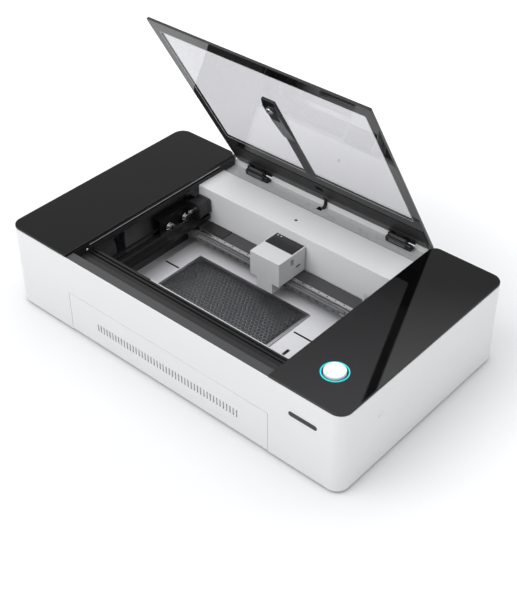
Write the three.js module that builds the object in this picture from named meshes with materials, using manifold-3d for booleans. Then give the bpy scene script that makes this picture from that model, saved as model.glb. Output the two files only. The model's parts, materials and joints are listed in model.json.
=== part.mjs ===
// A desktop CO2 laser cutter: a low white steel case with black decks on both sides of a glazed lid that
// hinges at the back, a vented drawer below the bed, and a belt-driven gantry with a laser head inside.
// Millimetres. The frame: +X right, +Y back, +Z up, origin in the middle of the overall box, at the soles.
// Every size below is in the case's own frame, whose origin is in the middle of the case's bottom edge.
import * as THREE from "three";
import { mergeVertices } from "three/addons/utils/BufferGeometryUtils.js";
import Module from "manifold-3d";

const wasm = await Module();
wasm.setup();

// ---------- driving dimensions ----------
const WIDTH = 1000;
const DEPTH = 584;
const CASE_H = 212; // the white case, without feet and decks
const CORNER_R = 30;
const WALL = 2;
const DECK_T = 5;
const FOOT_H = 8;
const DUCT_REACH = 30; // how far the exhaust duct stands out behind the case
const GAP = 0.3; // the clearance between pieces that meet

const HALF_W = WIDTH / 2;
const HALF_D = DEPTH / 2;
const IN_X = HALF_W - WALL;
const IN_Y = HALF_D - WALL;
const BAY_X = 307; // half the width between the decks
const BAY_IN = BAY_X - 0.4; // half the width of what spans the bay
const SKIRT_T = 10.5; // room for a skirt beside the bay

const LEDGE_Z = 185; // the hinge ledge at the back of the bay
const COVER_Z = 190; // top of the laser tube's cover
const COVER_Y = 151; // front face of the laser tube's cover
const COVER_BACK = 244.5; // its back edge, where the ledge begins
const REAR_WALL_Z = 200; // the case's rear wall between the decks
const LINER_Y = -233; // inner face of the front liner

const LID_OPEN = THREE.MathUtils.degToRad(60);
const LID_HALF = 306;
const LID_FRONT = -290.5;
const LID_BACK = 287;
const LID_Z = 211.5; // underside of the closed lid
const SHEET_T = 2.9; // the lid's frame and its pane, each
const PIN = { y: 277.6, z: 194.4 };
const HINGE_X = 221;
const HINGE_HALF = 36;

const RAIL_X = 292; // the rollers' track
const RAIL_TOP = 118;
const ROLLER_Z = 130.4;
const ROLLER_YS = [32, 88];
const CARRIAGE = { x0: 308, x1: 336, y0: 12, y1: 148, z0: 76, z1: 150 };
const BEAM = { y0: 90, y1: 146, z0: 78, z1: 98 };
const X_BELT = { y: 99, z: 146, left: -284, right: 262 };
const Y_BELT = { z: 110, front: -276, back: 250 };
const PULLEY_R = 6.4;
const HEAD = { half: 45, y0: 50, y1: 146, z0: 102, z1: 168 };
const NOZZLE_Y = 64;

const DRAWER = { half: 306.3, top: 109.8, back: 132, floor: 8, rim: 42 };
const BED = { x0: -235, x1: 121, y0: -217, y1: 75, z0: 28, z1: 46 };
const VENT = { count: 46, pitch: 9.6, width: 4, x: 3.5, z0: 43, z1: 64.5 };
const FAN = { x: -150, z: 92, half: 60, bore: 56, duct: 50 };
const BUTTON = { x: 403.5, y: -195.5, cap: 24.4, groove: 28, ring: 31 };
const INLET = { x0: 339, x1: 369, z0: 38, z1: 100 };
const ROCKER = { x: 354, y: 285, z: 87 };

// ---------- materials ----------
function paint(color, roughness, metalness = 0) {
  return new THREE.MeshStandardMaterial({ color, roughness, metalness });
}
const WHITE = paint(0xe9eaec, 0.45);
const DECK_BLACK = paint(0x121214, 0.08);
const BLACK_METAL = paint(0x1c1c1e, 0.4, 0.6);
const BLACK_PLASTIC = paint(0x161617, 0.5);
const DARK_GREY = paint(0x4a4b4d, 0.45, 0.5);
const ALUMINIUM = paint(0xa9a9ab, 0.35, 1);
const STEEL = paint(0xc4c6c8, 0.25, 1);
const RUBBER = paint(0x1a1a1a, 0.9);
const GLASS = paint(0xc9ccd2, 0.03);
GLASS.transparent = true;
GLASS.opacity = 0.35;
const LIGHT = paint(0x12e0e6, 0.3);
LIGHT.emissive = new THREE.Color(0x12e0e6);
const CAP_WHITE = paint(0xf6f6f6, 0.3);
const TANK = paint(0xdfe6ea, 0.35);

// ---------- shape helpers ----------
function solid(geometry) {
  const bare = geometry.index ? geometry.toNonIndexed() : geometry.clone();
  bare.deleteAttribute("normal");
  bare.deleteAttribute("uv");
  const merged = mergeVertices(bare, 1e-4);
  const vertProperties = new Float32Array(merged.attributes.position.array);
  const triVerts = new Uint32Array(merged.index.array);
  return new wasm.Manifold(new wasm.Mesh({ numProp: 3, vertProperties, triVerts }));
}

function geometryOf(manifold) {
  const { vertProperties, triVerts } = manifold.getMesh();
  const geometry = new THREE.BufferGeometry();
  geometry.setAttribute("position", new THREE.BufferAttribute(new Float32Array(vertProperties), 3));
  geometry.setIndex(new THREE.BufferAttribute(new Uint32Array(triVerts), 1));
  geometry.computeVertexNormals();
  return geometry;
}

const join = (...parts) => geometryOf(parts.map(solid).reduce((a, b) => a.add(b)));
const cut = (body, ...tools) => geometryOf(tools.map(solid).reduce((a, b) => a.subtract(b), solid(body)));

function box(x0, x1, y0, y1, z0, z1) {
  const block = new THREE.BoxGeometry(x1 - x0, y1 - y0, z1 - z0);
  return block.translate((x0 + x1) / 2, (y0 + y1) / 2, (z0 + z1) / 2);
}

// An outline pushed along an axis. Its own two directions are y, z for axis x; x, z for y; and x, y for z.
const AXES = {
  x: [new THREE.Vector3(0, 1, 0), new THREE.Vector3(0, 0, 1), new THREE.Vector3(1, 0, 0)],
  y: [new THREE.Vector3(1, 0, 0), new THREE.Vector3(0, 0, 1), new THREE.Vector3(0, -1, 0)],
  z: [new THREE.Vector3(1, 0, 0), new THREE.Vector3(0, 1, 0), new THREE.Vector3(0, 0, 1)],
};
function prism(axis, outline, from, to, curveSegments = 6) {
  const isShape = outline instanceof THREE.Shape;
  const shape = isShape ? outline : new THREE.Shape(outline.map(([a, b]) => new THREE.Vector2(a, b)));
  const geometry = new THREE.ExtrudeGeometry(shape, { depth: to - from, bevelEnabled: false, curveSegments });
  geometry.applyMatrix4(new THREE.Matrix4().makeBasis(...AXES[axis]));
  const start = { x: [from, 0, 0], y: [0, to, 0], z: [0, 0, from] };
  return geometry.translate(...start[axis]);
}

function rod(axis, radius, a, b, from, to, segments = 24) {
  const circle = new THREE.Shape().absarc(a, b, radius, 0, Math.PI * 2);
  return prism(axis, circle, from, to, segments / 2);
}

function tube(axis, outer, inner, a, b, from, to, segments = 32) {
  const ring = new THREE.Shape().absarc(a, b, outer, 0, Math.PI * 2);
  ring.holes.push(new THREE.Path().absarc(a, b, inner, 0, Math.PI * 2, true));
  return prism(axis, ring, from, to, segments / 2);
}

// A profile of [radius, distance along the axis] pairs, turned about an axis through the given centre.
function turned(axis, profile, x, y, z, segments = 24) {
  const points = profile.map(([r, t]) => new THREE.Vector2(r, t));
  const geometry = new THREE.LatheGeometry(points, segments);
  if (axis === "x") geometry.rotateZ(-Math.PI / 2);
  if (axis === "z") geometry.rotateX(Math.PI / 2);
  return geometry.translate(x, y, z);
}

// A rectangle with its own radius at each corner: back right, back left, front left, front right.
function roundedRect(x0, x1, y0, y1, [br, bl, fl, fr]) {
  const s = new THREE.Shape();
  s.moveTo(x0 + fl, y0);
  s.lineTo(x1 - fr, y0);
  if (fr) s.absarc(x1 - fr, y0 + fr, fr, -Math.PI / 2, 0);
  s.lineTo(x1, y1 - br);
  if (br) s.absarc(x1 - br, y1 - br, br, 0, Math.PI / 2);
  s.lineTo(x0 + bl, y1);
  if (bl) s.absarc(x0 + bl, y1 - bl, bl, Math.PI / 2, Math.PI);
  s.lineTo(x0, y0 + fl);
  if (fl) s.absarc(x0 + fl, y0 + fl, fl, Math.PI, Math.PI * 1.5);
  return s;
}

function inset(by) {
  const r = Math.max(CORNER_R - by, 1);
  return roundedRect(-HALF_W + by, HALF_W - by, -HALF_D + by, HALF_D - by, [r, r, r, r]);
}

// ---------- groups ----------
const laserCutter = new THREE.Group();
const machine = new THREE.Group();
machine.position.set(0, -DUCT_REACH / 2, FOOT_H);
laserCutter.add(machine);

const lid = new THREE.Group(); // turned about the hinge pins, shown open
lid.position.set(0, PIN.y, PIN.z);
lid.rotation.x = -LID_OPEN;
machine.add(lid);

function add(name, geometry, material, group = machine) {
  const mesh = new THREE.Mesh(geometry, material);
  mesh.name = name;
  if (group === lid) geometry.translate(0, -PIN.y, -PIN.z); // lid pieces are drawn in the closed place
  group.add(mesh);
  return mesh;
}

// A piece drawn on the left side, placed there or, mirrored, on the right.
const SIDES = { left: 1, right: -1 };
function addPaired(name, side, geometry, material) {
  add(name, geometry, material).scale.x = SIDES[side];
}

// ---------- the case ----------
const FLANGE = 16; // how far the case's top edge turns inwards
const DRAWER_SEAM = 1.2;
const SPEAKER = { y: -163, z: 137, reach: 7, hole: 1.4 }; // a ring of six small holes round a seventh
const NOTCH = { left: 37, right: 38, z: 191.6 }; // in the rear wall, round each hinge's middle
const REAR_OPENING = { half: 430, z0: 14, z1: 172 };

function speakerHoles() {
  const { y, z, reach, hole } = SPEAKER;
  const hexagon = [0, 1, 2, 3, 4, 5].map((i) => (i * Math.PI) / 3);
  const places = hexagon.map((a) => [y + reach * Math.cos(a), z + reach * Math.sin(a)]);
  return [...places, [y, z]].map(([a, b]) => rod("x", hole, a, b, IN_X - 1, HALF_W + 1, 6));
}

function casing() {
  const [bayX, top] = [BAY_X + GAP, CASE_H + 1];
  const wall = cut(prism("z", inset(0), 0, CASE_H), prism("z", inset(WALL), -1, top));
  const flange = cut(prism("z", inset(WALL / 2), CASE_H - WALL, CASE_H), prism("z", inset(FLANGE), 0, top));
  const seam = DRAWER.half + DRAWER_SEAM;
  const notches = [-HINGE_X, HINGE_X].map((x) =>
    box(x - NOTCH.left, x + NOTCH.right, IN_Y - 1, HALF_D + 1, NOTCH.z, CASE_H),
  );
  return cut(
    join(wall, flange),
    box(-BAY_X - SKIRT_T, BAY_X + SKIRT_T, -IN_Y, IN_Y, CASE_H - 4, top), // no flange across the bay
    box(-bayX, bayX, -HALF_D - 1, -IN_Y + 1, LID_Z - GAP, top),
    box(-bayX, bayX, IN_Y - 1, HALF_D + 1, REAR_WALL_Z, top), // the lid's back edge swings here
    ...notches,
    box(-seam, seam, -HALF_D - 1, -IN_Y + 1, -1, DRAWER.top + DRAWER_SEAM),
    box(-REAR_OPENING.half, REAR_OPENING.half, IN_Y - 1, HALF_D + 1, REAR_OPENING.z0, REAR_OPENING.z1),
    ...speakerHoles(),
  );
}
add("casing", casing(), WHITE);
add("base_plate", prism("z", inset(WALL + GAP), 2, 4), WHITE);

const LOUVRE = { pitch: 12, width: 4, z0: 60, z1: 120 };
function louvres(first, count) {
  const { pitch, width, z0, z1 } = LOUVRE;
  const starts = Array.from({ length: count }, (_, i) => first + i * pitch);
  return starts.map((x) => box(x, x + width, 280, 295, z0, z1));
}

function rearPanel() {
  const edge = 1.5; // the inlet's rim covers this much of its hole
  return cut(
    box(-440, 440, IN_Y - 2.8, IN_Y - GAP, 6, 180),
    rod("y", FAN.duct + 0.5, FAN.x, FAN.z, 280, 295, 40),
    box(INLET.x0 + edge, INLET.x1 - edge, 280, 295, INLET.z0 + edge, INLET.z1 - edge),
    box(250, 266, 280, 295, 50, 64), // network socket
    box(250, 263, 280, 295, 74, 82), // USB socket
    ...louvres(60, 12),
    ...louvres(-420, 8),
  );
}
add("rear_panel", rearPanel(), WHITE);

const DECK_Z = CASE_H + 0.2;
const DECK_TOP = CASE_H + DECK_T;
const deckOutline = roundedRect(-HALF_W, -BAY_X, -HALF_D, HALF_D, [20, CORNER_R, CORNER_R, 0]);
const deck = prism("z", deckOutline, DECK_Z, DECK_TOP, 8);
addPaired("deck_left", "left", deck, DECK_BLACK);
addPaired("deck_right", "right", cut(deck, rod("z", 28, -BUTTON.x, BUTTON.y, 200, 230, 36)), DECK_BLACK);

// The start button: a lit collar in the right deck and the cap that is pressed.
const collar = [[0, 196], [27.6, 196], [27.6, DECK_TOP + 0.1], [BUTTON.ring, DECK_TOP + 0.1],
  [BUTTON.ring, 218.2], [BUTTON.ring - 0.6, 218.8], [BUTTON.groove, 218.8], [BUTTON.groove, 217.3],
  [25.4, 217.3], [25.4, 198], [0, 198]];
add("button_ring", turned("z", collar, BUTTON.x, BUTTON.y, 0, 36), LIGHT);
const cap = [[0, 203], [BUTTON.cap, 203], [BUTTON.cap, 222], [BUTTON.cap - 1.4, 223.4], [0, 223.4]];
add("button_cap", turned("z", cap, BUTTON.x, BUTTON.y, 0, 36), CAP_WHITE);

const sole = [[0, -FOOT_H], [16, -FOOT_H], [18, -FOOT_H + 2], [20, 0.7], [0, 0.7]];
const FOOT_AT = { x: 430, y: 235 };
for (const [side, sx] of [["left", -1], ["right", 1]]) {
  for (const [end, sy] of [["front", -1], ["rear", 1]]) {
    add(`foot_${end}_${side}`, turned("z", sole, sx * FOOT_AT.x, sy * FOOT_AT.y, 0, 16), RUBBER);
  }
}

// ---------- what frames the bay ----------
add("front_lip", box(-BAY_IN, BAY_IN, -IN_Y + GAP, -266, 205, LID_Z - GAP), DARK_GREY);
const [LINER_TOP, LINER_LOW, LINER_T] = [190, 113, 2];
const liner = [[-IN_Y + GAP, LINER_TOP - LINER_T], [LINER_Y - LINER_T, LINER_TOP - LINER_T],
  [LINER_Y - LINER_T, LINER_LOW], [LINER_Y, LINER_LOW], [LINER_Y, LINER_TOP], [-IN_Y + GAP, LINER_TOP]];
add("front_liner", prism("x", liner, -BAY_IN, BAY_IN), DARK_GREY);

// A grooved bar behind the liner, above the head's way, that ties the two sides together.
function crossbar() {
  const [y0, y1, z0, z1] = [LINER_Y + 0.5, -198, 172, COVER_Z];
  const groove = (y, width, depth) => box(-BAY_X, BAY_X, y - width / 2, y + width / 2, z1 - depth, z1 + 1);
  const rearNotch = box(-BAY_X, BAY_X, y1 - 3, y1 + 1, 180, z1 + 1);
  return cut(box(-BAY_IN, BAY_IN, y0, y1, z0, z1), groove(y1 - 13, 5, 5), groove(y1 - 23, 5, 5), rearNotch);
}
add("front_crossbar", crossbar(), BLACK_METAL);

for (const side of ["left", "right"]) {
  const skirt = cut(
    box(-BAY_X - 10, -BAY_X, -266, 287, 186, CASE_H),
    box(-BAY_X - 5, -BAY_X + 1, -216, 230, 199, 207),
    rod("x", 2, 246, 199, -BAY_X - 3, -BAY_X + 1, 8),
    rod("x", 2, 270, 199, -BAY_X - 3, -BAY_X + 1, 8),
  );
  addPaired("skirt_" + side, side, skirt, BLACK_METAL);
  const sheet = box(-352, -350, -286, 148, 4.5, 208);
  const pin = rod("x", 2.6, Y_BELT.front, Y_BELT.z, -350.5, -315, 12);
  const whole = join(sheet, pin);
  const window = box(-355, -345, -240, -70, 70, 170); // shows the air pump in the left side bay
  addPaired("inner_wall_" + side, side, side === "left" ? cut(whole, window) : whole, BLACK_METAL);
}

const [LEDGE_Y, LEDGE_BACK] = [COVER_BACK + 0.6, IN_Y - GAP];
const ledge = [[LEDGE_Y, 160], [LEDGE_Y + 2, 160], [LEDGE_Y + 2, LEDGE_Z - 2], [LEDGE_BACK, LEDGE_Z - 2],
  [LEDGE_BACK, LEDGE_Z], [LEDGE_Y, LEDGE_Z]];
const cableHole = box(-23, -7, 268, 283, 180, 190);
add("rear_ledge", cut(prism("x", ledge, -BAY_IN, BAY_IN), cableHole), WHITE);
const cover = [[COVER_Y, 95], [163, 95], [163, 97], [COVER_Y + 2, 97], [COVER_Y + 2, COVER_Z - 2],
  [COVER_BACK - 2, COVER_Z - 2], [COVER_BACK - 2, 176], [COVER_BACK, 176], [COVER_BACK, COVER_Z],
  [COVER_Y, COVER_Z]];
add("tube_cover", cut(prism("x", cover, -BAY_IN, BAY_IN), rod("z", 4.5, -23, 193, 180, 200, 16)), WHITE);

// ---------- the lid's hinges: two fixed knuckles on a foot, one knuckle with a leaf between them ----------
const KNUCKLE_R = 6.2;
const MID_HALF = 20; // half the middle knuckle's length
for (const [name, side] of [["left", -1], ["right", 1]]) {
  const c = side * HINGE_X;
  const knuckle = (a, b) => {
    return join(rod("x", KNUCKLE_R, PIN.y, PIN.z, a, b, 24), box(a, b, 273, 283, 187, PIN.z));
  };
  const base = join(
    box(c - HINGE_HALF, c + HINGE_HALF, 273, 289.2, LEDGE_Z + GAP, 188),
    knuckle(c - HINGE_HALF, c - MID_HALF - 0.4),
    knuckle(c + MID_HALF + 0.4, c + HINGE_HALF),
  );
  add("hinge_base_" + name, cut(base, rod("x", 3.3, PIN.y, PIN.z, c - 40, c + 40, 16)), BLACK_METAL);
  const arm = join(
    rod("x", KNUCKLE_R, PIN.y, PIN.z, c - MID_HALF, c + MID_HALF, 24),
    rod("x", 3, PIN.y, PIN.z, c - HINGE_HALF - 2, c + HINGE_HALF + 2, 16),
    box(c - MID_HALF, c + MID_HALF, 273, 282, 197, 207),
    box(c - HINGE_HALF, c + HINGE_HALF, 266, 285.5, 206.4, 210.1),
  );
  add("hinge_arm_" + name, arm, BLACK_METAL, lid);
}

// ---------- the lid, drawn closed ----------
const frameHole = roundedRect(-284.5, 284.5, -256.5, 161.5, [4, 4, 4, 4]);
const lidSheet = box(-LID_HALF, LID_HALF, LID_FRONT, LID_BACK, LID_Z, LID_Z + SHEET_T);
const PANE_Z = LID_Z + SHEET_T + 0.2;
add("lid_frame", cut(lidSheet, prism("z", frameHole, LID_Z - 1, LID_Z + 4)), DECK_BLACK, lid);
add("lid_pane", box(-LID_HALF, LID_HALF, LID_FRONT, LID_BACK, PANE_Z, PANE_Z + SHEET_T), GLASS, lid);

// A thin strip under the glass: a wide part with a cable port, then a narrower one behind it for the hinges.
const [BAR_LOW, BAR_TOP] = [210.4, LID_Z - GAP];
const lidBar = cut(
  join(box(-300, 300, 198, 254, BAR_LOW, BAR_TOP), box(-294, 294, 253, LID_BACK - 0.5, BAR_LOW, BAR_TOP)),
  box(-22, 1, 214, 231, BAR_LOW - 1, BAR_TOP + 1),
);
add("lid_rear_bar", lidBar, BLACK_METAL, lid);

// The bed camera hangs in the middle of the pane, with its cable under a flat strip.
const CAMERA_X = -13;
const CAM_Z = PANE_Z - GAP;
const stripBox = box(CAMERA_X - 15, CAMERA_X + 15, 9.3, 161, CAM_Z - 3.8, CAM_Z);
add("camera_strip", stripBox, BLACK_PLASTIC, lid);
const cameraSide = [[9, CAM_Z], [9, CAM_Z - 4], [-36, 206.5], [-62, 204.5], [-132, 204], [-145, 208],
  [-145, CAM_Z]];
const LENS_AT = { x: CAMERA_X - 5, y: -114, radius: 9, low: 200 };
const cameraBody = join(
  prism("x", cameraSide, CAMERA_X - 21, CAMERA_X + 15), // flush with the strip's right edge
  box(CAMERA_X - 29, CAMERA_X - 18, -118, -84, 207, CAM_Z),
  rod("z", LENS_AT.radius, LENS_AT.x, LENS_AT.y, LENS_AT.low, 206, 20),
);
add("camera_housing", cameraBody, BLACK_PLASTIC, lid);

// ---------- the drawer ----------
function drawerFront() {
  const first = VENT.x - ((VENT.count - 1) * VENT.pitch) / 2;
  const slots = [];
  for (let i = 0; i < VENT.count; i++) {
    const x = first + i * VENT.pitch;
    slots.push(box(x - VENT.width / 2, x + VENT.width / 2, -HALF_D - 1, -IN_Y + 1, VENT.z0, VENT.z1));
  }
  return cut(box(-DRAWER.half, DRAWER.half, -HALF_D, -IN_Y, 2, DRAWER.top), ...slots);
}
add("drawer_front", drawerFront(), WHITE);

function drawerTray() {
  const [x, y0, y1, z0, z1] = [292, -IN_Y + GAP, DRAWER.back, DRAWER.floor, DRAWER.rim];
  const t = 2;
  return cut(
    box(-x, x, y0, y1, z0, z1),
    box(-x + t, x - t, y0 + t, y1 - t, z0 + t, z1 - t),
    box(BED.x0 - 0.6, BED.x1 + 0.6, BED.y0 - 0.6, BED.y1 + 0.6, z0 + t, z1 + 1),
    box(158, 166, -80, -50, z1 - t - 1, z1 + 1), // a finger slot beside the bed
  );
}
add("drawer_tray", drawerTray(), WHITE);

function honeycombBed() {
  const { x0, x1, y0, y1, z0, z1 } = BED;
  const [across, along, web] = [11, 9, 1.6];
  const [stepX, stepY] = [(x1 - x0 - web) / across, (y1 - y0 - web) / along];
  const pockets = [];
  for (let i = 0; i < across; i++) {
    for (let k = 0; k < along; k++) {
      const [x, y] = [x0 + web + i * stepX, y0 + web + k * stepY];
      pockets.push(box(x, x + stepX - web, y, y + stepY - web, z0 - 1, z1 - 1.5));
    }
  }
  return cut(box(x0, x1, y0, y1, z0, z1), ...pockets);
}
add("honeycomb_bed", honeycombBed(), ALUMINIUM);

// ---------- rails and the Y drive ----------
for (const side of ["left", "right"]) {
  const track = [[-300, 106], [-268, 106], [-268, RAIL_TOP], [-RAIL_X + 4, RAIL_TOP], [-RAIL_X + 1, 122],
    [-RAIL_X - 1, 122], [-RAIL_X - 4, RAIL_TOP], [-300, RAIL_TOP]];
  addPaired("rail_" + side, side, prism("y", track, LINER_Y + 0.5, COVER_Y - 0.5), BLACK_METAL);
  const idler = tube("x", PULLEY_R + 1, 2.9, Y_BELT.front, Y_BELT.z, -326, -317, 20);
  addPaired("y_idler_" + side, side, idler, STEEL);
}
const driveShaft = rod("x", PULLEY_R, Y_BELT.back, Y_BELT.z, -330, 344, 20);
add("y_drive_shaft", driveShaft, STEEL);
add("y_motor", motorBox("x", Y_BELT.back, Y_BELT.z, 345, 385), BLACK_METAL);

// ---------- the gantry, parked at the back ----------
for (const side of ["left", "right"]) {
  const { x0, x1, y0, y1, z0, z1 } = CARRIAGE;
  const channel = cut(box(-x1, -x0, y0, y1, z0, z1), box(-x1 + 3, -x0 - 3, y0 - 1, y1 + 1, z0 + 3, z1 - 3));
  const axles = ROLLER_YS.flatMap((y) => [
    rod("x", 4, y, ROLLER_Z, -x0 - 1, -RAIL_X + 6.5, 16),
    rod("x", 12, y, ROLLER_Z, -x0 - 1, -x0 + 3, 16),
  ]);
  const motorPlate = box(-x0 - 1, -262, 104.5, 107.7, 126, 168);
  const idlerPlate = box(-x0 - 1, -250, 104.5, 107.7, 134, 158);
  const plate = side === "left" ? motorPlate : idlerPlate;
  let body = join(channel, ...axles, plate);
  if (side === "left") body = cut(body, rod("y", 8, X_BELT.left, X_BELT.z, 100, 112, 16));
  else body = join(body, rod("y", 2.5, -X_BELT.right, X_BELT.z, 92, 106, 12));
  addPaired("carriage_" + side, side, body, side === "left" ? BLACK_METAL : ALUMINIUM);

  const wheel = [[4.3, -5], [10.6, -5], [11.5, -4.2], [8, -1.2], [8, 1.2], [11.5, 4.2], [10.6, 5], [4.3, 5],
    [4.3, -5]];
  ["front", "rear"].forEach((end, i) => {
    const roller = turned("x", wheel, -RAIL_X, ROLLER_YS[i], ROLLER_Z, 20);
    addPaired(`roller_${side}_${end}`, side, roller, STEEL);
  });
}

add("gantry_beam", box(-CARRIAGE.x0 + GAP, CARRIAGE.x0 - GAP, BEAM.y0, BEAM.y1, BEAM.z0, BEAM.z1), ALUMINIUM);
function headRail() {
  const body = box(-252, 213, 82, BEAM.y0 - GAP, 82, 94);
  const bolts = [];
  for (let x = -240; x < 210; x += 50) bolts.push(rod("y", 3, x, 88, 80, 86, 6));
  return cut(body, ...bolts);
}
add("head_rail", headRail(), STEEL);
function motorBox(axis, a, b, from, to) {
  const half = 21;
  const outline = [[a - half, b - half], [a + half, b - half], [a + half, b + half], [a - half, b + half]];
  return prism(axis, outline, from, to);
}
add("x_motor", motorBox("y", X_BELT.left, X_BELT.z, 108, 148), BLACK_METAL);
const drivePulley = join(
  rod("y", PULLEY_R, X_BELT.left, X_BELT.z, 93, 104, 20),
  rod("y", 2.5, X_BELT.left, X_BELT.z, 92, 107.8, 12),
);
add("x_drive_pulley", drivePulley, STEEL);
add("x_idler_pulley", tube("y", PULLEY_R, 2.8, X_BELT.right, X_BELT.z, 94, 104, 20), STEEL);

function headHousing() {
  const { half, y0, y1, z0, z1 } = HEAD;
  const body = join(
    box(-half, half, y0, y1, z0, z1),
    box(-24, 24, y0, 81.5, 72, z0 + 1),
    box(-22, 22, 80, 88, 95, z0 + 1), // hooks over and under the rail
    box(-22, 22, 80, 88, 74, 81),
  );
  return cut(
    body,
    box(-half - 1, half + 1, X_BELT.y - 6, X_BELT.y + 6, X_BELT.z - 10, X_BELT.z + 10), // the belt's way
    rod("z", 11.5, 0, NOZZLE_Y, 60, 152, 24),
  );
}
add("head_housing", headHousing(), WHITE);
const lens = [[0, 58], [3, 58], [8, 68], [11, 70], [11, 132], [0, 132]];
add("lens_tube", turned("z", lens, 0, NOZZLE_Y, 0, 24), ALUMINIUM);

// ---------- what fills the side bays and the back ----------
const glassTube = [[0, -345], [8, -345], [8, -330], [25, -322], [25, 322], [8, 330], [8, 345], [0, 345]];
add("laser_tube", turned("x", glassTube, 95, 200, 130, 24), GLASS);

function airPump() {
  const side = new THREE.Shape();
  side.moveTo(-205, 30);
  side.lineTo(-95, 30);
  side.lineTo(-95, 110);
  side.absarc(-150, 110, 55, 0, Math.PI);
  side.lineTo(-205, 30);
  return prism("x", side, -440, -356, 10);
}
add("air_pump", airPump(), BLACK_PLASTIC);
add("coolant_tank", box(-480, -370, 20, 220, 4.5, 150), TANK);
add("power_supply", box(370, 480, -60, 140, 4.5, 90), ALUMINIUM);

function fanFrame() {
  const { x, z, half, bore, duct } = FAN;
  const frame = cut(
    box(x - half, x + half, 257, 286, z - half, z + half),
    rod("y", bore, x, z, 250, 282, 40),
    rod("y", duct - 3, x, z, 250, 300, 40),
  );
  const spider = [0, 1, 2].map((i) => {
    return box(0, bore + 1, 257, 260, -3, 3).rotateY((i * 2 * Math.PI) / 3).translate(x, 0, z);
  });
  const hub = rod("y", 17, x, z, 257, 260, 24);
  return join(frame, ...spider, hub, tube("y", duct, duct - 3, x, z, 285, HALF_D + DUCT_REACH, 40));
}
add("exhaust_duct", fanFrame(), BLACK_PLASTIC);

function fanRotor() {
  const blades = [];
  for (let i = 0; i < 7; i++) {
    const blade = new THREE.BoxGeometry(40, 2, 20).rotateX(0.7).translate(34, 0, 0);
    blades.push(blade.rotateY((i * 2 * Math.PI) / 7).translate(FAN.x, 270, FAN.z));
  }
  return join(rod("y", 18, FAN.x, FAN.z, 262, 279, 24), ...blades);
}
add("fan_rotor", fanRotor(), BLACK_PLASTIC);

function powerInlet() {
  const { x0, x1, z0, z1 } = INLET;
  const face = box(x0, x1, IN_Y, IN_Y + 1.6, z0, z1);
  const body = box(x0 + 2, x1 - 2, 273, IN_Y + 1, z0 + 2, z1 - 2);
  return cut(
    join(face, body),
    box(x0 + 4, x1 - 4, 276, 295, z0 + 6, z0 + 24),
    box(ROCKER.x - 9.6, ROCKER.x + 9.6, 278, 295, ROCKER.z - 10, ROCKER.z + 10),
  );
}
add("power_inlet", powerInlet(), BLACK_PLASTIC);
const rockerSide = [[-3, -5], [2.5, -7.2], [4, -7.2], [3.4, 0], [7, 7], [1, 7], [-3, 5]];
const rockerOutline = rockerSide.map(([y, z]) => [ROCKER.y + y, ROCKER.z + z]);
add("power_rocker", prism("x", rockerOutline, ROCKER.x - 9, ROCKER.x + 9), BLACK_PLASTIC);

export default laserCutter;
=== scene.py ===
# The desktop laser cutter's looks: finely bevelled skins over the CAD nodes, small fittings, procedural
# materials, a white studio and the camera. Lengths are millimetres in the case's own frame, whose origin is
# the middle of the case's bottom edge, until at() or piece() turns them into the row frame's metres.
import json
import math

import bmesh
import bpy
from mathutils import Matrix, Vector


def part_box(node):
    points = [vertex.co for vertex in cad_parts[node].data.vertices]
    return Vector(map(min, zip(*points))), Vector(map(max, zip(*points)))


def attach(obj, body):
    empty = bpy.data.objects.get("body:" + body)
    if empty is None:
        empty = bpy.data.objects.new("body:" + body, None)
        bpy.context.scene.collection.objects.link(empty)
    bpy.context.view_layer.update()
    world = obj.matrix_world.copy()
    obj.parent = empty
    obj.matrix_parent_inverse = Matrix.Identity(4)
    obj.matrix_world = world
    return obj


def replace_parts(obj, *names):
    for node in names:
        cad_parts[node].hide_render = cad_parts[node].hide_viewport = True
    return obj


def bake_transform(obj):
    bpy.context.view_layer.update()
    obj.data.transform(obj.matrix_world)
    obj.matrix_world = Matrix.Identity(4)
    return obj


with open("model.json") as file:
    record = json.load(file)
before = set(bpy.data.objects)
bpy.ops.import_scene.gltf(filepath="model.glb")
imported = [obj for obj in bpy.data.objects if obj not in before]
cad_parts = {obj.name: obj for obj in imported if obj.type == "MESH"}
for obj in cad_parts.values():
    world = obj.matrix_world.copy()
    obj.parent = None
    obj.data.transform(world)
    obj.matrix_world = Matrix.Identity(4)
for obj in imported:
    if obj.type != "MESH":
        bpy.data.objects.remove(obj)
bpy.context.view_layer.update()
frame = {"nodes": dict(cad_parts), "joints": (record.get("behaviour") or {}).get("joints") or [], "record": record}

# ---------- places ----------
MM = 0.001
case_low, case_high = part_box("casing")
CASE_ORIGIN = Vector((0, (case_low.y + case_high.y) / 2, case_low.z))
joints = {joint["name"]: joint for joint in frame["joints"]}
PIN = Vector(joints["lid_hinge"]["pos_m"])
LID_OPEN = math.radians(joints["lid_hinge"]["range_deg"][1])
LID_TURN = Matrix.Translation(PIN) @ Matrix.Rotation(-LID_OPEN, 4, "X") @ Matrix.Translation(-PIN)
BODY_OF = {node: body for body, nodes in frame["record"]["behaviour"]["bodies"].items() for node in nodes}
SLOT_OF = {part["node"]: part["material_slot"] for part in frame["record"]["subparts"]}


def at(x, y, z):
    return CASE_ORIGIN + Vector((x, y, z)) * MM


def node_mm(node):
    """A node's lowest and highest corners in the case's frame, in millimetres."""
    low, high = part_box(node)
    return (low - CASE_ORIGIN) / MM, (high - CASE_ORIGIN) / MM


# ---------- materials ----------
NOISE_RANGE = (0.3, 0.7)
MOTTLE_SCALE = 9.0
SMUDGE_SCALE = 24.0
GRAIN_HEIGHT = 0.0004  # metres
COAT_ROUGHNESS = 0.03


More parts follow.
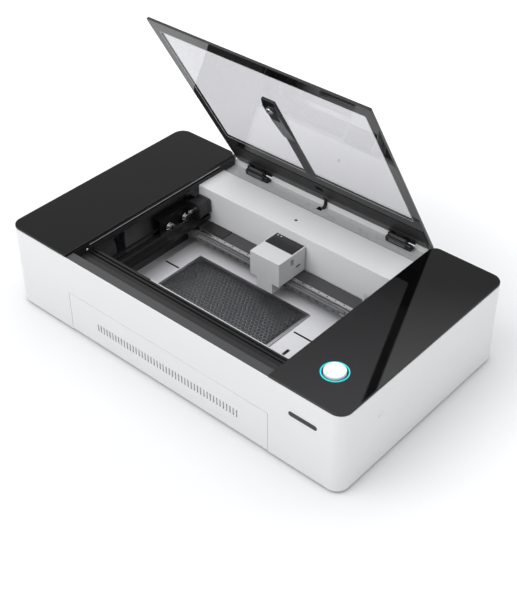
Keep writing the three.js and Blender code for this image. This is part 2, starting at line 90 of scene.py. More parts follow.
def noise(tree, coordinate, scale, detail=2.0):
    texture = tree.nodes.new("ShaderNodeTexNoise")
    texture.inputs["Scale"].default_value = scale
    texture.inputs["Detail"].default_value = detail
    tree.links.new(coordinate, texture.inputs["Vector"])
    return texture.outputs["Fac"]


def spread(tree, value, low, high):
    """Stretches noise, which rarely leaves NOISE_RANGE, to run from low to high."""
    ranged = tree.nodes.new("ShaderNodeMapRange")
    ranged.inputs["From Min"].default_value, ranged.inputs["From Max"].default_value = NOISE_RANGE
    ranged.inputs["To Min"].default_value = low
    ranged.inputs["To Max"].default_value = high
    tree.links.new(value, ranged.inputs["Value"])
    return ranged.outputs["Result"]


def surface(name, colour, roughness, metallic=0.0, grain=900.0, bump=0.05, mottle=0.03, smudge=0.04, coat=0.0,
            stretch=(1, 1, 1), specular=0.5):
    """A painted, moulded or machined surface: its grain as bump, slightly uneven colour, and uneven gloss."""
    material = bpy.data.materials.new(name)
    material.use_nodes = True
    tree = material.node_tree
    shader = tree.nodes["Principled BSDF"]
    shader.inputs["Metallic"].default_value = metallic
    shader.inputs["Coat Weight"].default_value = coat
    shader.inputs["Coat Roughness"].default_value = COAT_ROUGHNESS
    shader.inputs["Specular IOR Level"].default_value = specular
    place = tree.nodes.new("ShaderNodeTexCoord").outputs["Object"]
    mapping = tree.nodes.new("ShaderNodeMapping")
    mapping.inputs["Scale"].default_value = stretch
    tree.links.new(place, mapping.inputs["Vector"])
    streaked = mapping.outputs["Vector"]

    tint = tree.nodes.new("ShaderNodeMix")
    tint.data_type = "RGBA"
    tint.inputs["A"].default_value = (*[c * (1 - mottle) for c in colour], 1)
    tint.inputs["B"].default_value = (*[min(1, c * (1 + mottle)) for c in colour], 1)
    tree.links.new(noise(tree, place, MOTTLE_SCALE, 3.0), tint.inputs["Factor"])
    tree.links.new(tint.outputs["Result"], shader.inputs["Base Color"])

    smudges = noise(tree, streaked, SMUDGE_SCALE, 4.0)
    gloss = spread(tree, smudges, max(0, roughness - smudge), roughness + smudge)
    tree.links.new(gloss, shader.inputs["Roughness"])
    relief = tree.nodes.new("ShaderNodeBump")
    relief.inputs["Strength"].default_value = bump
    relief.inputs["Distance"].default_value = GRAIN_HEIGHT
    tree.links.new(noise(tree, streaked, grain, 2.0), relief.inputs["Height"])
    tree.links.new(relief.outputs["Normal"], shader.inputs["Normal"])
    return material


def pane_glass(name, clear, ior=1.5):
    """A flat clear sheet: light goes straight through, tinted; its outer side mirrors by Fresnel's law."""
    material = bpy.data.materials.new(name)
    material.use_nodes = True
    tree = material.node_tree
    tree.nodes.remove(tree.nodes["Principled BSDF"])
    through = tree.nodes.new("ShaderNodeBsdfTransparent")
    through.inputs["Color"].default_value = (*clear, 1)
    mirror = tree.nodes.new("ShaderNodeBsdfGlossy")
    mirror.inputs["Roughness"].default_value = 0.01
    fresnel = tree.nodes.new("ShaderNodeFresnel")
    fresnel.inputs["IOR"].default_value = ior
    geometry = tree.nodes.new("ShaderNodeNewGeometry")
    outside = tree.nodes.new("ShaderNodeMath")
    outside.operation = "SUBTRACT"
    outside.inputs[0].default_value = 1.0
    tree.links.new(geometry.outputs["Backfacing"], outside.inputs[1])
    share = tree.nodes.new("ShaderNodeMath")
    share.operation = "MULTIPLY"
    tree.links.new(fresnel.outputs["Fac"], share.inputs[0])
    tree.links.new(outside.outputs["Value"], share.inputs[1])
    mix = tree.nodes.new("ShaderNodeMixShader")
    tree.links.new(share.outputs["Value"], mix.inputs["Fac"])
    tree.links.new(through.outputs["BSDF"], mix.inputs[1])
    tree.links.new(mirror.outputs["BSDF"], mix.inputs[2])
    tree.links.new(mix.outputs["Shader"], tree.nodes["Material Output"].inputs["Surface"])
    return material


def glowing(name, colour, strength, roughness=0.3):
    material = surface(name, colour, roughness)
    shader = material.node_tree.nodes["Principled BSDF"]
    shader.inputs["Emission Color"].default_value = (*colour, 1)
    shader.inputs["Emission Strength"].default_value = strength
    return material


MATERIAL = {
    "white_case": surface("white_powder_coat", (0.74, 0.742, 0.748), 0.42, bump=0.06, mottle=0.012),
    "white_inner": surface("white_inner_coat", (0.76, 0.763, 0.768), 0.34, grain=1300, bump=0.1,
                           mottle=0.015),
    "head_white": surface("white_moulding", (0.6, 0.603, 0.608), 0.4, grain=1300, bump=0.08, mottle=0.015),
    "black_deck": surface("black_gloss_sheet", (0.0025, 0.0025, 0.0028), 0.05, bump=0.0, smudge=0.015,
                          mottle=0.1),
    "black_glass": surface("black_printed_glass", (0.006, 0.006, 0.0065), 0.03, bump=0.0, smudge=0.01,
                           mottle=0.1),
    "clear_glass": pane_glass("clear_pane", (0.795, 0.793, 0.805)),
    "tube_glass": pane_glass("tube_glass", (0.93, 0.95, 0.96)),
    "black_metal": surface("black_powder_coat", (0.014, 0.014, 0.015), 0.38, bump=0.12, mottle=0.08),
    "black_aluminium": surface("black_anodised", (0.02, 0.02, 0.021), 0.3, 0.5, bump=0.08, mottle=0.06,
                               stretch=(0.05, 1, 1)),
    "grey_metal": surface("dark_grey_coat", (0.055, 0.055, 0.057), 0.4, bump=0.1, mottle=0.03),
    "aluminium": surface("blasted_aluminium", (0.60, 0.60, 0.61), 0.34, 1.0, grain=2200, bump=0.12,
                         mottle=0.04),
    "steel": surface("ground_steel", (0.62, 0.62, 0.63), 0.22, 1.0, grain=1500, bump=0.08, mottle=0.04,
                     stretch=(0.04, 1, 1)),
    "black_plastic": surface("black_moulding", (0.016, 0.016, 0.017), 0.42, grain=1600, bump=0.14,
                             mottle=0.06),
    "rubber": surface("rubber", (0.018, 0.018, 0.018), 0.8, bump=0.2, mottle=0.1),
    "light_ring": glowing("lit_ring", (0.015, 0.55, 0.6), 0.45),
    "button_white": surface("white_cap", (0.86, 0.86, 0.86), 0.22, bump=0.02, mottle=0.01),
    "tank_plastic": surface("milky_plastic", (0.62, 0.68, 0.72), 0.4, bump=0.05),
    "electronics": surface("zinc_plate", (0.45, 0.45, 0.46), 0.42, 0.9, bump=0.1, mottle=0.1),
}
# The light grey of the lamp strips' diffusers, and also the painted highlight along the lid window's edge.
DIFFUSER_AND_HIGHLIGHT = surface("diffuser_and_painted_highlight", (0.5, 0.51, 0.52), 0.35, bump=0.02)
LENS = surface("camera_lens", (0.01, 0.012, 0.03), 0.03, bump=0.0, coat=1.0)
BELT = surface("belt_rubber", (0.012, 0.012, 0.013), 0.6, bump=0.2)
MATTE_PRINT = surface("matte_black_print", (0.012, 0.012, 0.0125), 0.5, grain=1800, bump=0.06, specular=0.3)
# Dark grey painted shade laid over the beam's aluminium top.
BEAM_PAINTED_SHADE = surface("beam_top_painted_shade", (0.055, 0.055, 0.057), 0.36, 0.2, bump=0.06, stretch=(0.05, 1, 1))
RAIL_GREY = surface("grey_rail_coat", (0.12, 0.12, 0.122), 0.45, bump=0.06)
# Light grey painted highlight on the hinge ribs' edges.
RIB_HIGHLIGHT = surface("rib_edge_painted_highlight", (0.22, 0.22, 0.225), 0.3, 0.6, bump=0.05)
PUMP_SHELL = surface("pump_shell", (0.05, 0.05, 0.052), 0.34, grain=1600, bump=0.08)
GLOSS_BLACK = surface("gloss_black_moulding", (0.008, 0.008, 0.0085), 0.16, grain=1600, bump=0.03)
DARK_STRIP = surface("dark_grey_strip", (0.05, 0.05, 0.052), 0.42, grain=1800, bump=0.08)
# Near-black painted shade, laid into holes, slots, grooves, gaps and openings where only shade falls.
PAINTED_SHADE = surface("painted_recess_shade", (0.004, 0.004, 0.004), 0.8, bump=0.0, specular=0.1)
SATIN_WALL = surface("satin_dark_wall", (0.085, 0.085, 0.088), 0.36, bump=0.1, mottle=0.06)
SCREW_BLACK = surface("blackened_screws", (0.02, 0.02, 0.021), 0.3, 0.6, bump=0.05)
# The ledge's white, darkened as painted shade under the lid.
LEDGE_SHADED_WHITE = surface("ledge_white_painted_shade", (0.51, 0.513, 0.52), 0.28, grain=1300, bump=0.08, mottle=0.02)
TRAY_COAT = surface("tray_coat", (0.66, 0.66, 0.685), 0.36, grain=1300, bump=0.1, mottle=0.015)
# The front liner's white, painted near-black as the shade under the front lip.
LINER_PAINTED_SHADE = surface("liner_painted_shade", (0.013, 0.013, 0.0135), 0.45, grain=1800, bump=0.08)
BRASS = surface("plated_contacts", (0.7, 0.52, 0.26), 0.28, 1.0, bump=0.05)


# ---------- mesh building: all in millimetres ----------
def add_box(bm, low, high):
    centre = [(a + b) / 2 for a, b in zip(low, high)]
    size = [b - a for a, b in zip(low, high)]
    made = bmesh.ops.create_cube(bm, size=1.0)["verts"]
    for vert in made:
        vert.co = Vector([c + s * v for c, s, v in zip(centre, size, vert.co)])


AXES = {"x": (1, 2, 0), "y": (0, 2, 1), "z": (0, 1, 2)}


def add_prism(bm, axis, outline, start, end):
    """A closed outline of (a, b) points pushed along an axis. It faces y, z for x; x, z for y; x, y for z."""
    first, second, along = AXES[axis]

    def ring(distance):
        verts = []
        for a, b in outline:
            co = [0.0, 0.0, 0.0]
            co[first], co[second], co[along] = a, b, distance
            verts.append(bm.verts.new(co))
        return verts

    low, high = ring(start), ring(end)
    faces = [bm.faces.new(low), bm.faces.new(high)]
    count = len(outline)
    for i in range(count):
        faces.append(bm.faces.new((low[i], low[(i + 1) % count], high[(i + 1) % count], high[i])))
    bmesh.ops.recalc_face_normals(bm, faces=faces)


def circle(radius, a, b, count=24, start=0.0):
    turn = 2 * math.pi / count
    return [(a + radius * math.cos(start + i * turn), b + radius * math.sin(start + i * turn))
            for i in range(count)]


def add_rod(bm, axis, radius, a, b, start, end, count=24):
    """A round bar about the line through (a, b) along an axis."""
    add_prism(bm, axis, circle(radius, a, b, count), start, end)


def add_turned(bm, axis, profile, centre, count=40, closed=False):
    """A profile of (radius, distance along the axis) pairs turned about an axis through centre."""
    first, second, along = AXES[axis]
    rings = []
    for radius, distance in profile:
        ring = []
        for a, b in circle(radius, 0, 0, count) if radius > 0 else [(0, 0)]:
            co = list(centre)
            co[first] += a
            co[second] += b
            co[along] += distance
            ring.append(bm.verts.new(co))
        rings.append(ring)
    faces = []
    for low, high in zip(rings, rings[1:] + (rings[:1] if closed else [])):
        for i in range(count):
            corners = [low[i % len(low)], low[(i + 1) % len(low)],
                       high[(i + 1) % len(high)], high[i % len(high)]]
            unique = list(dict.fromkeys(corners))
            if len(unique) > 2:
                faces.append(bm.faces.new(unique))
    bmesh.ops.recalc_face_normals(bm, faces=faces)


def rounded(x0, x1, y0, y1, radius, count=5):
    """A rectangle's outline with rounded corners."""
    points = []
    corners = [(x1 - radius, y1 - radius, 0), (x0 + radius, y1 - radius, 1), (x0 + radius, y0 + radius, 2),
               (x1 - radius, y0 + radius, 3)]
    for x, y, quarter in corners:
        for i in range(count + 1):
            angle = (quarter + i / count) * math.pi / 2
            points.append((x + radius * math.cos(angle), y + radius * math.sin(angle)))
    return points


def stadium(radius, a0, a1, b, count=12):
    """A belt's outline round two wheels at a0 and a1."""
    points = []
    for centre, first in ((a1, -0.5), (a0, 0.5)):
        for i in range(count + 1):
            angle = (first + i / count) * math.pi
            points.append((centre + radius * math.cos(angle), b + radius * math.sin(angle)))
    return points


def add_band(bm, axis, outer, inner, start, end):
    """The space between two outlines with the same number of points, pushed along an axis."""
    first, second, along = AXES[axis]
    levels = []
    for distance in (start, end):
        rings = []
        for outline in (outer, inner):
            verts = []
            for a, b in outline:
                co = [0.0, 0.0, 0.0]
                co[first], co[second], co[along] = a, b, distance
                verts.append(bm.verts.new(co))
            rings.append(verts)
        levels.append(rings)
    (out_low, in_low), (out_high, in_high) = levels
    faces = []
    for i in range(len(outer)):
        k = (i + 1) % len(outer)
        faces.append(bm.faces.new((out_low[i], out_low[k], in_low[k], in_low[i])))
        faces.append(bm.faces.new((out_high[i], in_high[i], in_high[k], out_high[k])))
        faces.append(bm.faces.new((out_low[i], out_high[i], out_high[k], out_low[k])))
        faces.append(bm.faces.new((in_low[i], in_low[k], in_high[k], in_high[i])))
    bmesh.ops.recalc_face_normals(bm, faces=faces)


def blocks(*spans):
    """Builds one box for each (x0, x1, y0, y1, z0, z1)."""
    def build(bm):
        for x0, x1, y0, y1, z0, z1 in spans:
            add_box(bm, (x0, y0, z0), (x1, y1, z1))

    return build


def both_sides(*spans):
    """The same boxes on the right and, mirrored, on the left."""
    mirrored = [(-x1, -x0, *rest) for x0, x1, *rest in spans]
    return blocks(*spans, *mirrored)


# A button-head screw's profile: (radius, height above the surface) from the socket's floor outwards.
SCREW = [(0, 0.5), (1.3, 0.5), (1.3, 1.5), (2.2, 1.4), (2.9, 0.7), (3.1, -0.3), (0, -0.3)]


def screws(axis, places, outward=1, size=1.0):
    """Button-head screws with a socket. Each place is a point on the surface that the head sits on."""
    def build(bm):
        for centre in places:
            add_turned(bm, axis, [(r * size, t * size * outward) for r, t in SCREW], centre, 16)

    return build


def soften(bm, width, segments, angle, shortest=0.0):
    """Rounds every edge sharper than angle, but for those that are too short, as round a small hole."""
    sharp = [e for e in bm.edges
             if len(e.link_faces) == 2 and e.calc_face_angle(0) > angle and e.calc_length() > shortest]
    bmesh.ops.bevel(bm, geom=sharp, offset=width, segments=segments, profile=BEVEL_PROFILE, affect="EDGES",
                    clamp_overlap=True, loop_slide=True)


SHARP_EDGE = math.radians(38)  # an edge with a bigger angle is bevelled
SMOOTH_EDGE = math.radians(40)  # an edge with a smaller angle is shaded smooth
BEVEL_PROFILE = 0.6
WELD = 2e-6  # metres between vertices that are one
FLAT_EDGE = math.radians(0.6)  # an edge with a smaller angle is dissolved


def finish_mesh(name, bm, material, body, turned_with_lid=False):
    mesh = bpy.data.meshes.new(name)
    bm.to_mesh(mesh)
    bm.free()
    mesh.polygons.foreach_set("use_smooth", [True] * len(mesh.polygons))
    mesh.set_sharp_from_angle(angle=SMOOTH_EDGE)
    mesh.materials.append(material)
    piece = bpy.data.objects.new(name, mesh)
    bpy.context.scene.collection.objects.link(piece)
    if turned_with_lid:
        mesh.transform(LID_TURN)
    even = piece.modifiers.new("even_shading", "WEIGHTED_NORMAL")
    even.keep_sharp = True
    if body:
        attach(piece, body)
    return piece


def piece(name, build, slot, body, material=None, bevel=0.5, segments=2, lid=False, replaces=()):
    """A piece drawn in millimetres in the case's frame; what is on the lid is drawn with the lid closed."""
    bm = bmesh.new()
    build(bm)
    if bevel:
        soften(bm, bevel, segments, SHARP_EDGE)
    bm.transform(Matrix.Translation(CASE_ORIGIN) @ Matrix.Scale(MM, 4))
    made = finish_mesh(name, bm, material or MATERIAL[slot], body, lid)
    if replaces:
        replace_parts(made, *replaces)
    return made


def skin(node, bevel=0.6, segments=2, material=None):
    """A CAD node's own shape with its edges rounded."""
    bm = bmesh.new()
    bm.from_mesh(frame["nodes"][node].data)
    bmesh.ops.remove_doubles(bm, verts=bm.verts, dist=WELD)
    bmesh.ops.dissolve_limit(bm, angle_limit=FLAT_EDGE, verts=bm.verts, edges=bm.edges)
    soften(bm, bevel * MM, segments, SHARP_EDGE, SMALLEST_EDGE.get(node, 0) * MM)
    made = finish_mesh(node + "_skin", bm, material or MATERIAL[SLOT_OF[node]], BODY_OF[node])
    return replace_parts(made, node)


# ---------- the CAD nodes whose shape is right: rounded edges and their material ----------
# Bevel widths that differ from EDGE, and the shortest edge that is bevelled on nodes with tiny holes.
EDGE = 0.5
WIDE_EDGES = {"casing": 0.9, "deck_left": 1.4, "deck_right": 1.4, "tube_cover": 1.2}
SMALLEST_EDGE = {"casing": 1.9, "tube_cover": 1.9}
# Nodes that a detailed piece replaces further down, and nodes whose look isn't their slot's usual one.
OWN_PIECES = {"lid_frame", "lid_pane", "lid_rear_bar", "x_motor", "y_motor", "head_rail", "honeycomb_bed",
              "laser_tube", "button_ring"}
# The rear ledge's and the front liner's white is darkened here as painted shade.
OWN_MATERIAL = {"inner_wall_left": SATIN_WALL, "inner_wall_right": SATIN_WALL, "front_liner": LINER_PAINTED_SHADE,
                "rear_ledge": LEDGE_SHADED_WHITE, "drawer_tray": TRAY_COAT,
                "air_pump": PUMP_SHELL, "camera_housing": GLOSS_BLACK, "camera_strip": DARK_STRIP}
for node in frame["nodes"]:
    if node not in OWN_PIECES:
        skin(node, WIDE_EDGES.get(node, EDGE), material=OWN_MATERIAL.get(node))


# ---------- lid: one sheet of glass with a printed border ----------
LID_HALF = 306
LID_FRONT = -290.5
LID_BACK = 287
LID_Z = 211.5  # its underside when closed
LID_T = 6
WINDOW = (-284.5, 284.5, -256.5, 161.5)
WINDOW_GAP = 0.1  # the clear pane stops this far inside the border, all round
WINDOW_HIGHLIGHT = 1.3  # width of the painted highlight along the window's edge
PORT = (-22, 1, 214, 231)  # the cable port under the glass
STRIP_Z = (210.4, 211.2)  # the thin strips under the glass
WIDE_STRIP = (-300, 300, 198, 253.6)


def border(bm):
    outer = rounded(-LID_HALF, LID_HALF, LID_FRONT, LID_BACK, 3, 4)
    add_band(bm, "z", outer, rounded(*WINDOW, 4, 4), LID_Z, LID_Z + LID_T)


piece("lid_border", border, "black_glass", "lid", bevel=0.6, lid=True, replaces=["lid_frame"])


def window(bm):
    x0, x1, y0, y1 = WINDOW
    gap = WINDOW_GAP
    outline = rounded(x0 + gap, x1 - gap, y0 + gap, y1 - gap, 4, 4)
    add_prism(bm, "z", outline, LID_Z + gap, LID_Z + LID_T - gap)


piece("lid_window", window, "clear_glass", "lid", bevel=0, lid=True, replaces=["lid_pane"])


# A light grey ring under the glass at the window's edge: a painted highlight of the glass edge.
def window_edge_highlight(bm):
    x0, x1, y0, y1 = WINDOW
    width = WINDOW_HIGHLIGHT
    inner = rounded(x0 + width, x1 - width, y0 + width, y1 - width, 3, 4)
    add_band(bm, "z", rounded(*WINDOW, 4, 4), inner, LID_Z - 0.2, LID_Z + 0.05)


piece("lid_window_edge_highlight", window_edge_highlight, "aluminium", "lid", DIFFUSER_AND_HIGHLIGHT, bevel=0, lid=True)

port_x0, port_x1, port_y0, port_y1 = PORT
strip_x0, strip_x1, strip_y0, strip_y1 = WIDE_STRIP
piece("lid_wide_strip", blocks(
    (strip_x0, port_x0, strip_y0, strip_y1, *STRIP_Z), (port_x1, strip_x1, strip_y0, strip_y1, *STRIP_Z),
    (port_x0, port_x1, strip_y0, port_y0, *STRIP_Z), (port_x0, port_x1, port_y1, strip_y1, *STRIP_Z),
), "black_metal", "lid", MATTE_PRINT, bevel=0.15, lid=True, replaces=["lid_rear_bar"])
piece("lid_narrow_strip", blocks((-294, 294, 254, 286.5, *STRIP_Z)), "black_metal", "lid", DARK_STRIP,
      bevel=0.2, lid=True)
# The port's opening is a thin near-black sheet of painted shade.
piece("lid_port_shade", blocks((*PORT, LID_Z - 0.25, LID_Z - 0.05)), "black_metal", "lid", PAINTED_SHADE, bevel=0,
      lid=True)

# ---------- the bed camera under the glass ----------
CAMERA_X = -13
LENS_X = -18
LENS_Y = -114
LENS_LOW = 200


def camera_ring(bm):
    profile = [(6.2, -0.6), (8.6, -0.6), (9.2, 0.2), (9.2, 2.4), (6.2, 2.4)]
    add_turned(bm, "z", profile, (LENS_X, LENS_Y, LENS_LOW), 40, closed=True)


def camera_lens(bm):
    profile = [(0, -1), (2.4, -0.8), (4.6, -0.4), (6.1, 0.3), (6.1, 2), (0, 2)]
    add_turned(bm, "z", profile, (LENS_X, LENS_Y, LENS_LOW), 40)


piece("camera_ring", camera_ring, "steel", "lid", bevel=0.15, lid=True)
piece("camera_lens", camera_lens, "black_glass", "lid", LENS, bevel=0, lid=True)
# The groove is a thin near-black strip of painted shade.
piece("camera_side_groove", blocks((CAMERA_X + 14.9, CAMERA_X + 15.25, -138, -8, 209.2, 210.2)),
      "black_plastic", "lid", PAINTED_SHADE, bevel=0, lid=True)
piece("camera_window", blocks((-30, -6, -98, -74, 203.6, 204.6)), "black_plastic", "lid", MATTE_PRINT,
      bevel=0.3, lid=True)
piece("camera_strip_ribs", blocks(
    *[(CAMERA_X + x - 0.6, CAMERA_X + x + 0.6, 12, 158, 209.9, 210.6) for x in (-10, -5, 0, 5, 10)],
), "black_plastic", "lid", bevel=0.2, lid=True)

# ---------- the camera's ribbon cable, which crosses the hinge gap ----------
# Its right side reaches 3.5 mm past the hole in the ledge and passes through the ledge there.
RIBBON_X = (-13.5, -3.5)
RIBBON_T = 0.8
RIBBON_STEPS = 5  # between one of its points and the next
RIBBON = [(283.3, 215.2), (286.4, 209.9), (288.4, 205.6), (288.9, 200.6), (288.4, 195), (286.6, 190.2),
          (283, 187.4), (279, 185.9), (276.6, 182.6), (275.8, 177)]


def smooth_route(points, steps):
    """A Catmull-Rom curve through the points."""
    route = []
    for i in range(len(points) - 1):
        before = points[max(i - 1, 0)]
        a, b = points[i], points[i + 1]
        after = points[min(i + 2, len(points) - 1)]
        for k in range(steps):
            t = k / steps
            route.append(tuple(0.5 * (2 * q + (r - p) * t + (2 * p - 5 * q + 4 * r - s) * t * t
                                      + (3 * q - p - 3 * r + s) * t ** 3)
                               for p, q, r, s in zip(before, a, b, after)))
    route.append(points[-1])
    return route


def ribbon(bm):
    x0, x1 = RIBBON_X
    levels = []
    route = smooth_route(RIBBON, RIBBON_STEPS)
    for i, (y, z) in enumerate(route):
        ahead = Vector(route[min(i + 1, len(route) - 1)]) - Vector(route[max(i - 1, 0)])
        side = Vector((ahead.y, -ahead.x)).normalized() * RIBBON_T / 2
        corners = [(x0, y + side.x, z + side.y), (x1, y + side.x, z + side.y),
                   (x1, y - side.x, z - side.y), (x0, y - side.x, z - side.y)]
        levels.append([bm.verts.new(corner) for corner in corners])
    faces = [bm.faces.new(levels[0]), bm.faces.new(levels[-1])]
    for low, high in zip(levels, levels[1:]):
        for i in range(4):
            k = (i + 1) % 4
            faces.append(bm.faces.new((low[i], low[k], high[k], high[i])))
    bmesh.ops.recalc_face_normals(bm, faces=faces)


ribbon_cable = piece("camera_ribbon", ribbon, "black_plastic", None, MATTE_PRINT, bevel=0)
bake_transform(ribbon_cable)

# ---------- what lies on the ledge and the cover ----------
# Near-black painted shade under the ledge's cable hole and inside the cover's round hole.
piece("cable_hole_shade", blocks((-24, -6, 267, 284, 181.6, 182.8)), "black_plastic", "case", PAINTED_SHADE,
      bevel=0)
piece("cover_hole_shade", lambda bm: add_rod(bm, "z", 6, -23, 193, 184, 187.6), "black_plastic", "case",
      PAINTED_SHADE, bevel=0)

HINGE_X = 221
HINGE_PLATE = (-30, 26)  # its ends, from the hinge's middle


def hinge_spans():
    return [(side * HINGE_X + HINGE_PLATE[0], side * HINGE_X + HINGE_PLATE[1]) for side in (-1, 1)]


def ledge_plates(bm):
    for x0, x1 in hinge_spans():
        add_prism(bm, "y", rounded(x0, x1, 188.4, 200.4, 3), 270, 271.1)


def lid_plates(bm):
    for x0, x1 in hinge_spans():
        add_prism(bm, "y", rounded(x0, x1, 203.2, 214.6, 3), 272.7, 273.7)
        for x in (x0 + 2, x1 - 14):
            add_box(bm, (x, 273.2, 206), (x + 12, 284, 212))


def hinge_ribs(y, heights):
    def build(bm):
        for x0, x1 in hinge_spans():
            for z in heights:
                add_prism(bm, "y", rounded(x0 + 5, x1 - 5, z - 0.9, z + 0.9, 0.8), y, y + 0.8)

    return build


piece("hinge_ledge_plates", ledge_plates, "black_metal", "case", GLOSS_BLACK, bevel=0.3)
piece("hinge_lid_plates", lid_plates, "black_metal", "lid", GLOSS_BLACK, bevel=0.3)
# The hinge ribs carry a painted highlight along their edges.
piece("hinge_ledge_ribs", hinge_ribs(269.3, (193.2, 197.2)), "black_metal", "case", RIB_HIGHLIGHT, bevel=0.2)
piece("hinge_lid_ribs", hinge_ribs(272, (207, 211)), "black_metal", "lid", RIB_HIGHLIGHT, bevel=0.2)
piece("cover_seam", blocks((-306, 306, 243.7, 244.5, 189.9, 190.12)), "grey_metal", "case", bevel=0)


# ---------- motors ----------
# Each band's start and end as shares of the motor's length, and how far it is set in.
STEPPER_BANDS = ((0, 0.26, 0), (0.27, 0.73, 0.7), (0.74, 1, 0))
STEPPER_CORNER = 4
STEPPER_SCREW = 5.5  # a screw's distance from both sides


def stepper(low, high, shaft_axis):
    """A square stepper motor: laminated middle, two end caps with cut corners, four screws."""
    first, second, along = AXES[shaft_axis]

    def build(bm):
        span = high[along] - low[along]
        for start, end, inset in STEPPER_BANDS:
            cut = STEPPER_CORNER + inset
            a0, a1 = low[first] + inset, high[first] - inset
            b0, b1 = low[second] + inset, high[second] - inset
            outline = [(a0 + cut, b0), (a1 - cut, b0), (a1, b0 + cut), (a1, b1 - cut),
                       (a1 - cut, b1), (a0 + cut, b1), (a0, b1 - cut), (a0, b0 + cut)]
            add_prism(bm, shaft_axis, outline, low[along] + start * span, low[along] + end * span)
        for a in (low[first] + STEPPER_SCREW, high[first] - STEPPER_SCREW):
            for b in (low[second] + STEPPER_SCREW, high[second] - STEPPER_SCREW):
                add_rod(bm, shaft_axis, 2.6, a, b, high[along] - 0.2, high[along] + 1.0, 12)
        middle = ((low[first] + high[first]) / 2, (low[second] + high[second]) / 2)
        add_rod(bm, shaft_axis, 11, *middle, low[along] - 0.9, low[along] + 1, 32)

    return build


piece("x_motor_body", stepper(*node_mm("x_motor"), "y"), "black_metal", "gantry", replaces=["x_motor"])
piece("y_motor_body", stepper(*node_mm("y_motor"), "x"), "black_metal", "case", replaces=["y_motor"])


# ---------- head rail: a grey coated bar with counterbored bolts ----------
RAIL_BOLT_PITCH = 25
RAIL_BOLT = [(0, 0.3), (2.1, 0.3), (2.1, -0.4), (3.4, -0.4), (3.4, 1.5), (0, 1.5)]
RAIL_STEP = 16  # length of the thinner right end
FIRST_BOLT = 28  # from the right end
LAST_BOLT = 10  # the least distance from the left end


def head_rail(bm):
    low, high = node_mm("head_rail")
    add_box(bm, low, (high.x - RAIL_STEP, high.y, high.z))
    add_box(bm, (high.x - RAIL_STEP, low.y + 2, low.z + 4), high)


def rail_bolts(bm):
    low, high = node_mm("head_rail")
    middle = (low.z + high.z) / 2
    x = high.x - FIRST_BOLT
    while x > low.x + LAST_BOLT:
        add_turned(bm, "y", RAIL_BOLT, (x, low.y, middle), 20)
        x -= RAIL_BOLT_PITCH


piece("head_rail_body", head_rail, "steel", "gantry", RAIL_GREY, replaces=["head_rail"])
piece("head_rail_bolts", rail_bolts, "black_metal", "gantry", SCREW_BLACK, bevel=0.15)

# ---------- beam: dark sheets of painted shade on its top, a bright guide along the front of its top ---
beam_low, beam_high = node_mm("gantry_beam")
BEAM_TOP = beam_high.z
BEAM_BED = BEAM_TOP - 0.1  # the underside of what lies on the beam, just inside it
BEAM_HALF = 306
GUIDE_Y = (97.5, 106.5)
GUIDE_PITCH = 25
piece("beam_shade_sheet",
      blocks((-BEAM_HALF, BEAM_HALF, GUIDE_Y[1] + 1.5, beam_high.y - 0.4, BEAM_BED, BEAM_TOP + 1.2)),
      "black_aluminium", "gantry", BEAM_PAINTED_SHADE, bevel=0.4)
piece("beam_front_shade_sheet",
      blocks((-BEAM_HALF, BEAM_HALF, beam_low.y + 0.3, GUIDE_Y[0] - 1, BEAM_BED, BEAM_TOP + 0.9)),
      "black_aluminium", "gantry", BEAM_PAINTED_SHADE, bevel=0.3)
piece("beam_guide", blocks((-300, 300, *GUIDE_Y, BEAM_BED, BEAM_TOP + 1.6)), "steel", "gantry", bevel=0.5)


# The bolt holes are flat near-black discs of painted shade on the guide's top.
def guide_holes(bm):
    middle = sum(GUIDE_Y) / 2
    for i in range(-11, 12):
        add_rod(bm, "z", 1.9, i * GUIDE_PITCH, middle, BEAM_TOP + 1.5, BEAM_TOP + 1.68, 20)


piece("guide_bolt_hole_shade", guide_holes, "black_metal", "gantry", PAINTED_SHADE, bevel=0)
piece("motor_mount_plate", blocks((-262, -190, 110, 146, BEAM_TOP + 1.3, BEAM_TOP + 3.3)), "black_metal",
      "gantry", bevel=0.6)


# ---------- toothed belts, and the pulleys and flanges that they run on ----------
BELT_T = 1.2
BELT_WIDTH = 7
BELT_IN = 7.5  # radius of the belt's inside round its wheels
Y_BELT_Z = 110
Y_IDLER_Y = -276
Y_SHAFT_Y = 250


def y_belts(bm):
    for x0 in (-325, 318):
        add_band(bm, "x", stadium(BELT_IN + BELT_T, Y_IDLER_Y, Y_SHAFT_Y, Y_BELT_Z),
                 stadium(BELT_IN, Y_IDLER_Y, Y_SHAFT_Y, Y_BELT_Z), x0, x0 + BELT_WIDTH)


def y_pulleys(bm):
    for x0 in (-327, 316):
        profile = [(5, 0), (9.6, 0), (9.6, 1.4), (7.4, 1.6), (7.4, 9.4), (9.6, 9.6), (9.6, 11), (5, 11)]
        add_turned(bm, "x", profile, (x0, Y_SHAFT_Y, Y_BELT_Z), 32, closed=True)


piece("y_belts", y_belts, "rubber", "case", BELT, bevel=0.1)
piece("y_drive_pulleys", y_pulleys, "aluminium", BODY_OF["y_drive_shaft"], bevel=0.2)


AXLE_Y = (32, 88)
AXLE_Z = 130.4


def roller_washers(bm):
    for side in (-1, 1):
        for y in AXLE_Y:
            profile = [(4.2, 0), (9, 0), (9, 0.8), (4.2, 0.8)]
            centre = (side * 297.4, y, AXLE_Z)
            add_turned(bm, "x", [(r, t * side) for r, t in profile], centre, 28, closed=True)


piece("roller_washers", roller_washers, "aluminium", "gantry", bevel=0.1)

# ---------- carriages ----------
CARRIAGE_TOP = 150.1
CARRIAGE_SIDE = 335.8
PLATE_X = (300, 326)
PLATE_HOLE = 3.4  # radius


